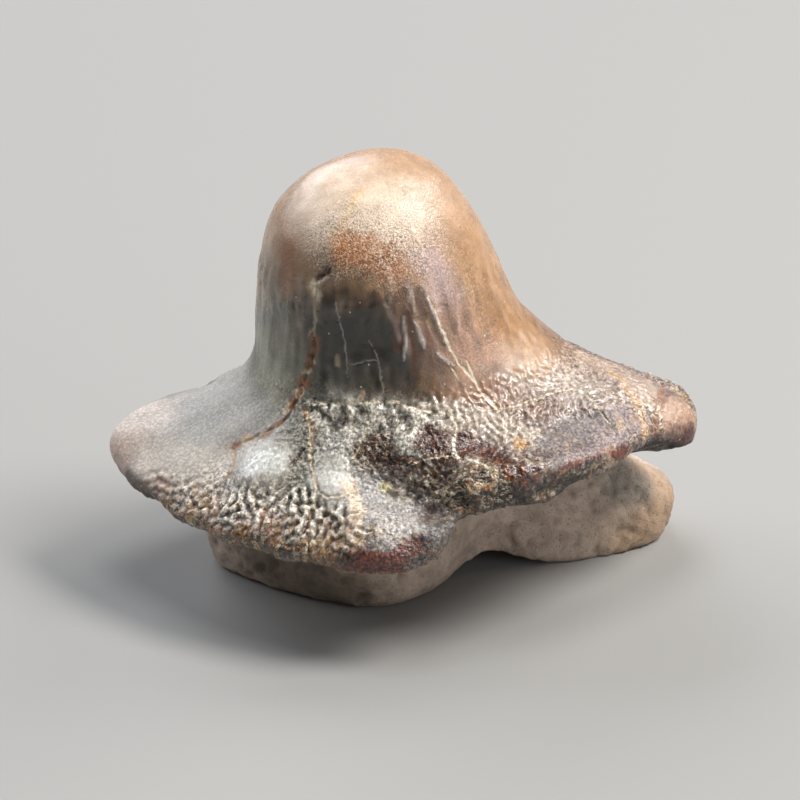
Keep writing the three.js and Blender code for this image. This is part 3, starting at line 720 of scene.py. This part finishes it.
def skin_colours(looks, skin):
    """The tooth's colour at each vertex, from broad areas down to single stains, with painted
    highlights and shade.
    """
    place, height, worms, fine = skin.place, skin.height, skin.worms, skin.fine
    off_cusp, off_maroon = 1 - skin.cusp, 1 - 0.8 * skin.maroon
    colours = np.tile(np.array(tuple(looks.ash)), (len(place), 1))

    def paint(code, share):
        """Lays a hex colour, or one of the settings, over the others where share is above 0."""
        over = linear(code) if code.startswith("#") else tuple(getattr(looks, code))
        share = np.clip(share, 0, 1)[:, None]
        colours[:] = colours * (1 - share) + np.array(over) * share

    rough = 0.5 * fuzz(place, 0.8, 101) + 0.3 * fuzz(place, 0.35, 102)
    hill = height + 0.6 * rough
    right = step(-1.6, 1.8, place[:, 0] + rough)
    paint("flank", right * step(6.0, 4.6, height))
    paint("amber", step(4.0, 6.0, hill) * right)
    paint("amber", step(4.2, 6.6, hill) * step(0.4, 2.0, place[:, 1] + 0.3 * rough))
    paint("wing", step(-1.8, -3.2, place[:, 0] + 0.4 * rough) * step(4.8, 4.1, height))
    paint("summit", step(5.9, 7.9, hill + 0.5 * skin.drip))
    paint("margin", 0.6 * step(0.95, 0.2, skin.inset + 0.35 * rough) * step(4.9, 4.4, height)
          * skin.crown)
    for name, (code, width, strength, _) in PATCHES.items():
        drip = 0.3 if name in STREAKED else 0.0
        paint(code, strength * skin.near(name, width, 0.35, 1.1 - 0.7 * strength, drip))
    streaks = skin.cusp * step(8.0, 6.5, height) * np.clip(skin.drip, -1, 1)
    colours *= (1 + 0.22 * streaks)[:, None]

    # Painted shade in the relief's dents and painted highlights on its tops, which are partly
    # pale mineral; then mineral and rust between them.
    paint("#2a1f17", (0.35 + 0.15 * worms + 0.25 * skin.foot) * step(0.0, -0.05, fine))
    paint("#e2dbcd", (0.1 + 0.8 * worms + 0.5 * skin.foot) * step(0.0, 0.035, fine)
          * off_cusp * (1 - 0.7 * skin.hollow) * off_maroon)
    patch = step(-0.1, 0.6, fuzz(place, 0.45, 103))
    paint("#8f6238", 0.45 * patch * worms * step(0.7, 0.1, skin.inset))
    vein = step(0.12, 0.02, np.abs(fuzz(place, 0.42, 104)))
    vein *= step(-0.1, 0.4, fuzz(place, 0.8, 107))
    paint("#c8ae8a", 0.6 * vein * worms * (1 - skin.swells))
    cream = step(0.62, 0.82, skin.threads) * step(-0.5, 0.2, fuzz(place, 0.5, 112))
    paint("#d3c3a2", 0.65 * cream * skin.hollow * (1 - 0.85 * skin.maroon) * (1 - 0.7 * skin.lip))
    # Painted highlights along the raised creases.
    for name, (width, rise, _) in CREASES.items():
        paint("#ded6d5", 15 * rise * skin.line(name, 1.2 * width, -0.5, 0.02))

    # Painted shade: the lip's near-black over the crown's underside.
    paint("lip", 0.85 * skin.under * off_maroon)
    paint("root", skin.root)
    for name, (code, width, strength, _) in ROOT_PATCHES.items():
        paint(code, strength * skin.near(name, width, 0.4, 0.6) * skin.root)
    paint("#40342b", 0.35 * np.clip(skin.pores, 0, 1))

    # Mineral fills the cracks; the rusty ones have a stained halo and dark open stretches.
    for name, (width, _, code, _) in CRACKS.items():
        filled = skin.line(name, width) * step(-0.65, -0.15, skin.warp)
        if code == "rust":
            halo = skin.near(name, 1.5 * width, 0.8, 0.4)
            blots = fuzz(place, 0.3, 105) + 0.3 * fuzz(place, 0.1, 109)
            paint("#cdb08a", 0.75 * halo * step(0.0, 0.4, blots))
            paint("#84501f", 0.85 * halo * step(0.1, -0.3, blots))
            filled = 0.9 * skin.line(name, 0.75 * width) * step(0.0, 0.25, fuzz(place, 0.26, 106))
            code = "#2e1a0e"
        paint(code, 0.9 * filled)
    paint("#3a2415", 0.8 * skin.chip)
    return np.clip(colours, 0, 1)


def skin_shares(skin):
    """What the enameloid reads at each vertex, by name: its grit, dullness, seams and tints."""
    cusp, hollow, nose, lip = skin.cusp, skin.hollow, skin.nose, skin.lip
    bare = (1 - cusp) * (1 - 0.85 * skin.glossy) * (1 - 0.7 * skin.swells)
    band = skin.near("pored_band", 0.75) + 0.7 * skin.near("band_right", 0.8)
    calm = skin.widest(("charcoal_top", "charcoal_mid"))
    summit = step(7.4, 8.3, skin.height)
    grit = (0.14 - 0.02 * summit + 0.6 * bare - 0.15 * nose - 0.1 * hollow + 0.26 * skin.salt
            - 0.4 * skin.near("right_tan", 0.45) + 0.22 * band * cusp - 0.3 * skin.ripples
            - 0.3 * skin.back * bare + 0.35 * skin.maroon + 0.15 * lip)
    dull = (0.12 + (0.03 - 0.02 * summit) * cusp + 0.3 * nose + 0.4 * skin.under
            + 0.5 * skin.glossy + 0.3 * lip + 0.3 * skin.shelf - 0.06 * skin.maroon
            + 0.04 * hollow - 0.1 * calm - 0.12 * skin.foot - 0.1 * skin.ripples
            - 0.1 * skin.swells - 0.06 * skin.worms)
    fleck = (step(1.0, 0.2, skin.inset) * skin.crown * (1 - cusp)
             * (1 - np.maximum(0.9 * skin.maroon, 0.8 * lip)) * (1 - skin.glossy)
             * (1 - 0.5 * skin.back) * step(-0.7, 0.2, fuzz(skin.place, 0.9, 111)))
    ember = (0.6 * hollow + 0.7 * skin.maroon + 0.25 * nose + 0.8 * skin.near("pored_band", 0.4)
             + 0.4 * skin.worms * step(1.0, 0.3, skin.inset))
    return {"grit": grit * (1 - 0.7 * calm), "dull": dull, "fleck": fleck, "ember": ember,
            "sleek": np.maximum.reduce([skin.foot, skin.ripples, skin.worms, skin.swells,
                                        0.2 * skin.maroon]),
            "seams": bare * (1 - 0.3 * lip) * (1 - 0.7 * skin.maroon),
            "salt": skin.salt, "fibre": hollow, "polish": cusp}


def add_to(tree, kind, inputs, **settings):
    """A node with its settings. An input takes a value, an output, or a node's first output."""
    made = tree.nodes.new("ShaderNode" + kind)
    for key, value in settings.items():
        setattr(made, key, value)
    for key, value in inputs.items():
        if isinstance(value, bpy.types.Node):
            value = value.outputs[0]
        if isinstance(value, bpy.types.NodeSocket):
            tree.links.new(value, made.inputs[key])
        else:
            made.inputs[key].default_value = value
    return made


def blank(name):
    """A new material, what adds nodes to its tree, and the object's coordinates there."""
    material = bpy.data.materials.new(name)
    material.use_nodes = True
    material.node_tree.nodes.clear()
    add = partial(add_to, material.node_tree)
    return material, add, add("TexCoord", {}).outputs["Object"]


def enameloid(looks):
    """Fossil enameloid, polished by wear: a satin skin with fine pale and dark grit, the pale
    partly painted glints and the dark partly painted shade in the grain's pits, so it gleams
    softly on the cusp and sparkles on the crown."""
    material, add, here = blank("fossil_enameloid_worn_satin")
    skin = add("Attribute", {}, attribute_name="skin")
    grit, dull, fleck, seams, fibre, ember, polish, sleek, salt = (
        add("Attribute", {}, attribute_name=name).outputs["Fac"] for name in
        ("grit", "dull", "fleck", "seams", "fibre", "ember", "polish", "sleek", "salt"))

    # Every scale is one over a size in the tooth: 0.45 mm for the mottling, 0.12 mm for the
    # waver of the mineral lines, and the grain's own size, set coarse enough to show.
    wave = add("TexNoise", {"Vector": here, "Scale": 1 / (0.12 * MM), "Detail": 2})
    warped = add("VectorMath", {0: wave.outputs["Color"], 1: (0.14 * MM,) * 3, 2: here},
                 operation="MULTIPLY_ADD")
    cloud = add("TexNoise", {"Vector": here, "Scale": 1 / (0.45 * MM), "Detail": 5,
                             "Roughness": 0.65})
    fine = add("TexNoise", {"Vector": here, "Scale": 0.72 / looks.grain, "Detail": 1.6,
                            "Roughness": 0.6})

    # On the polished cusp the grain is finer, about two pixels of the photograph.
    dust = add("TexNoise", {"Vector": here, "Scale": 1 / (0.04 * MM), "Detail": 2,
                            "Distortion": 0.7})
    fine = add("Mix", {0: polish, 2: fine, 3: dust}, data_type="FLOAT")

    # The broad mottling, dark grit with painted shade, and pale mineral with painted glints,
    # whitest on the salt.
    tone = add("MapRange", {0: cloud, 1: 0.3, 2: 0.7, 3: 0.8, 4: 1.2})
    mixed = add("VectorMath", {0: skin, "Scale": tone}, operation="SCALE")
    dark = add("VectorMath", {0: skin, "Scale": 0.2}, operation="SCALE")
    pale = add("VectorMath", {0: skin, 1: (2.2,) * 3, 2: (0.022, 0.02, 0.017)},
               operation="MULTIPLY_ADD")
    pale = add("Mix", {0: salt, 6: pale, 7: opaque("#efe3d4")}, data_type="RGBA")

    # Each layer is a pattern, where it starts and is full, its strength, its share and colour.
    # Dark grit, with painted shade, fills the grain's low places; pale mineral, with painted
    # glints, its high ones.
    layers = [(fine, 0.47, 0.38, 1, grit, dark), (fine, 0.54, 0.62, 1, grit, pale.outputs[2])]

    # Hairline mineral seams, broken up by the mottling, and closer fibres in the hollow.
    broken = add("MapRange", {0: cloud, 1: 0.45, 2: 0.55, 4: 0.8})
    strewn = add("VectorMath", {0: warped, 1: (0.4, 1, 1)}, operation="MULTIPLY")
    for size, half, where, code, spot in ((0.3, 0.010, seams, "#cdb99c", warped),
                                          (0.11, 0.035, fibre, "#e6dac2", strewn)):
        lace = add("TexNoise", {"Vector": spot, "Scale": 1 / (size * MM), "Detail": 3,
                                "Roughness": 0.6})
        seam = add("Math", {0: lace, 1: 0.5}, operation="SUBTRACT")
        seam = add("Math", {0: seam}, operation="ABSOLUTE")
        share = add("Math", {0: broken, 1: where}, operation="MULTIPLY")
        layers.append((seam, half, half / 4, 1, share, opaque(code)))

    # Rusty tints between the grains of the hollow, the nose and the margin.
    tint = add("TexNoise", {"Vector": warped, "Scale": 1 / (0.12 * MM), "Detail": 2})
    layers.append((tint, 0.52, 0.62, 0.55, ember, opaque("#8a4d26")))

    # Tiny pale specks, partly dust-fine mineral and partly painted glints, two picture pixels
    # across.
    spots = add("TexVoronoi", {"Vector": here, "Scale": 1 / (0.21 * MM)})
    some = add("SeparateColor", {0: spots.outputs["Color"]})
    some = add("MapRange", {0: some, 1: 0.55, 2: 0.6, 4: 0.75})
    layers.append((spots.outputs["Distance"], 0.11, 0.06, 1, some, opaque("#ddd6c8")))

    # Single grains of cream, tan and rust, thickest on the margin.
    cells = add("TexNoise", {"Vector": warped, "Scale": 1 / (0.15 * MM), "Detail": 3,
                             "Roughness": 0.65})
    parts = add("SeparateColor", {0: cells.outputs["Color"]})
    hue = add("MapRange", {0: parts.outputs[1], 1: 0.35, 2: 0.65})
    shades = add("ValToRGB", {0: hue})
    ramp = shades.color_ramp
    ramp.interpolation = "CONSTANT"
    for place, code in ((0.0, "#b7a684"), (0.35, "#9a6a40"), (0.6, "#cabb9c"), (0.8, "#643825")):
        stop = ramp.elements[0] if place == 0 else ramp.elements.new(place)
        stop.color = opaque(code)
    ramp.elements.remove(ramp.elements[-1])
    layers.append((parts, 0.54, 0.59, 1, fleck, shades))

    for pattern, start, full, strength, share, over in layers:
        amount = add("MapRange", {0: pattern, 1: start, 2: full, 4: strength})
        amount = add("Math", {0: amount, 1: share}, operation="MULTIPLY")
        mixed = add("Mix", {0: amount, 6: mixed, 7: over}, data_type="RGBA").outputs[2]

    depth = add("Math", {0: grit, 1: 0.85, 2: 0.05}, operation="MULTIPLY_ADD")
    calmer = add("Math", {0: sleek, 1: -0.65, 2: 1.0}, operation="MULTIPLY_ADD")
    depth = add("Math", {0: depth, 1: calmer}, operation="MULTIPLY")
    tall = add("Math", {0: fine, 1: depth}, operation="MULTIPLY")
    bump = add("Bump", {"Strength": 1.0, "Distance": 0.045 * MM, "Height": tall})
    gloss = add("MapRange", {0: dull, 3: 0.14, 4: 0.75})
    gloss = add("Math", {0: cloud, 1: 0.1, 2: gloss}, operation="MULTIPLY_ADD")
    shader = add("BsdfPrincipled", {
        "Base Color": mixed, "Roughness": gloss, "IOR": 1.6, "Specular IOR Level": 0.58,
        "Normal": bump, "Subsurface Weight": 0.04,
        "Subsurface Radius": (0.0006, 0.0004, 0.0003), "Subsurface Scale": 1.0})
    add("OutputMaterial", {"Surface": shader})
    return material


def dentine(looks):
    """Fossil dentine, bare and porous: matt and mottled, with dark pores."""
    material, add, here = blank("fossil_dentine_porous")
    skin = add("Attribute", {}, attribute_name="skin")
    cloud = add("TexNoise", {"Vector": here, "Scale": 1 / (0.5 * MM), "Detail": 6,
                             "Roughness": 0.7})
    fine = add("TexNoise", {"Vector": here, "Scale": 1 / looks.grain, "Detail": 3,
                            "Roughness": 0.6})
    tone = add("MapRange", {0: cloud, 1: 0.3, 2: 0.7, 3: 0.7, 4: 1.3})
    toned = add("VectorMath", {0: skin, "Scale": tone}, operation="SCALE")
    pore = add("MapRange", {0: fine, 1: 0.4, 2: 0.28, 4: 0.6})
    mixed = add("Mix", {0: pore, 6: toned, 7: opaque("#2c221b")}, data_type="RGBA")
    tall = add("Math", {0: fine, 1: pore}, operation="SUBTRACT")
    bump = add("Bump", {"Strength": 0.9, "Distance": 0.02 * MM, "Height": tall})
    shader = add("BsdfPrincipled", {"Base Color": mixed.outputs[2], "Roughness": 0.68,
                                    "IOR": 1.55, "Normal": bump})
    add("OutputMaterial", {"Surface": shader})
    return material


def paper_card(looks):
    """Matt paper card: an even, faintly fibrous sheet without gloss."""
    material, add, here = blank("matt_paper_card")
    fibre = add("TexNoise", {"Vector": here, "Scale": 1 / (0.4 * MM), "Detail": 4})
    bump = add("Bump", {"Strength": 0.1, "Distance": 0.01 * MM, "Height": fibre})
    shader = add("BsdfPrincipled", {"Base Color": (*looks.floor_colour, 1),
                                    "Roughness": 0.85, "Normal": bump})
    add("OutputMaterial", {"Surface": shader})
    return material


def spread(mesh, name, kind, values):
    """Keeps a value or colour with each vertex, for the materials to read."""
    layer = mesh.attributes.new(name, kind, "POINT")
    layer.data.foreach_set("color" if kind == "FLOAT_COLOR" else "value",
                           values.astype(np.float32).ravel())


class TOOTH_OT_build(bpy.types.Operator):
    """Build the tooth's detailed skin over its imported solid"""
    bl_idname = "fossil_tooth.build"
    bl_label = "Build the tooth"
    bl_options = {"REGISTER", "UNDO"}

    def execute(self, context):
        looks = context.scene.fossil_tooth
        smooth = rounded(welded("tooth"))
        solid = bmesh.new()
        solid.from_mesh(smooth)
        tree = BVHTree.FromBMesh(solid)
        solid.free()
        routes = {}
        for group, spacing in ((CRACKS, LINE_STEP), (CREASES, LINE_STEP), (PATCHES, PATCH_STEP),
                               (ROOT_PATCHES, PATCH_STEP), (ZONES, PATCH_STEP)):
            for name, row in group.items():
                routes[name] = lay(tree, name, row[-1], spacing)
        mesh = fine_mesh(looks, tree, smooth, routes)
        if len(mesh.polygons) >= MOST_TRIANGLES:
            raise RuntimeError(f"the tooth has {len(mesh.polygons)} triangles")
        skin = Surface(mesh, routes)
        place = (skin.place + skin.normal * relief(looks, skin)[:, None]) * MM
        mesh.vertices.foreach_set("co", place.astype(np.float32).ravel())
        colours = skin_colours(looks, skin)
        spread(mesh, "skin", "FLOAT_COLOR", np.hstack([colours, np.ones((len(colours), 1))]))
        for name, values in skin_shares(skin).items():
            spread(mesh, name, "FLOAT", np.clip(values, 0, 1))
        mesh.materials.append(enameloid(looks))
        mesh.materials.append(dentine(looks))
        bone = skin.root[skin.sides].mean(1) > 0.5
        mesh.polygons.foreach_set("material_index", bone.astype(np.int32))
        mesh.shade_smooth()
        mesh.update()
        piece = put("tooth_skin", mesh)
        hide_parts("tooth")
        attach(piece, "root")
        return {"FINISHED"}


class TOOTH_OT_stage(bpy.types.Operator):
    """Set the plain floor, the soft lights and the camera"""
    bl_idname = "fossil_tooth.stage"
    bl_label = "Set the stage"
    bl_options = {"REGISTER", "UNDO"}

    def execute(self, context):
        looks = context.scene.fossil_stage
        scene = context.scene
        shape = bmesh.new()
        bmesh.ops.create_circle(shape, cap_ends=True, segments=96, radius=looks.floor_size)
        floor = put("floor", finished(shape, "floor"))
        floor.data.materials.append(paper_card(looks))

        # Round area lights: the way to each from the tooth, how far off it is, and its width.
        middle = MIDDLE * MM
        for name, towards, away, size, tint in (
                ("key", (0.57, -0.13, 0.81), 0.13, 0.055, "#fffaf4"),
                ("top", (0.00, -0.08, 1.00), 0.14, 0.06, "#ffffff"),
                ("right", (0.62, 0.50, 0.60), 0.14, 0.08, "#fffaf4"),
                ("back", (-0.35, 0.80, 0.50), 0.15, 0.10, "#f6f9ff"),
                ("side", (-0.80, 0.35, 0.50), 0.15, 0.10, "#f6f9ff"),
                ("front", (0.75, -0.60, 0.22), 0.15, 0.10, "#ffffff")):
            lamp = bpy.data.lights.new(name, "AREA")
            lamp.shape, lamp.size = "DISK", size
            lamp.energy, lamp.color = getattr(looks, name + "_power"), linear(tint)
            light = put(name, lamp)
            light.location = middle + Vector(towards).normalized() * away
            ray = middle - light.location
            light.rotation_euler = ray.to_track_quat("-Z", "Y").to_euler()

        world = bpy.data.worlds.new("studio")
        world.use_nodes = True
        sky = world.node_tree.nodes["Background"]
        sky.inputs["Color"].default_value = opaque("#dfe2e6")
        sky.inputs["Strength"].default_value = looks.sky
        scene.world = world
        scene.view_settings.view_transform = "Standard"

        lens = bpy.data.cameras.new("camera")
        lens.lens, lens.sensor_width = LENS, SENSOR
        lens.clip_start, lens.clip_end = 0.01, 5
        scene.camera = put("camera", lens)
        scene.camera.location = sight(PICTURE / 2, PICTURE / 2)[0] * MM
        scene.camera.rotation_euler = (math.pi / 2 - TILT, 0, 0)
        return {"FINISHED"}


class TOOTH_PT_panel(bpy.types.Panel):
    """The tooth's settings and steps"""
    bl_idname = "TOOTH_PT_panel"
    bl_label = "Fossil tooth"
    bl_space_type = "VIEW_3D"
    bl_region_type = "UI"
    bl_category = "Fossil tooth"

    def draw(self, context):
        for group, step_name in ((context.scene.fossil_tooth, TOOTH_OT_build.bl_idname),
                                 (context.scene.fossil_stage, TOOTH_OT_stage.bl_idname)):
            box = self.layout.box()
            for key in group.__annotations__:
                box.prop(group, key)
            box.operator(step_name)


CLASSES = (ToothLooks, StageLooks, TOOTH_OT_build, TOOTH_OT_stage, TOOTH_PT_panel)


def register():
    for part in CLASSES:
        bpy.utils.register_class(part)
    bpy.types.Scene.fossil_tooth = PointerProperty(type=ToothLooks)
    bpy.types.Scene.fossil_stage = PointerProperty(type=StageLooks)


def unregister():
    del bpy.types.Scene.fossil_stage
    del bpy.types.Scene.fossil_tooth
    for part in reversed(CLASSES):
        bpy.utils.unregister_class(part)


def main():
    register()
    bpy.ops.fossil_tooth.build()
    bpy.ops.fossil_tooth.stage()


if __name__ == "__main__":
    main()
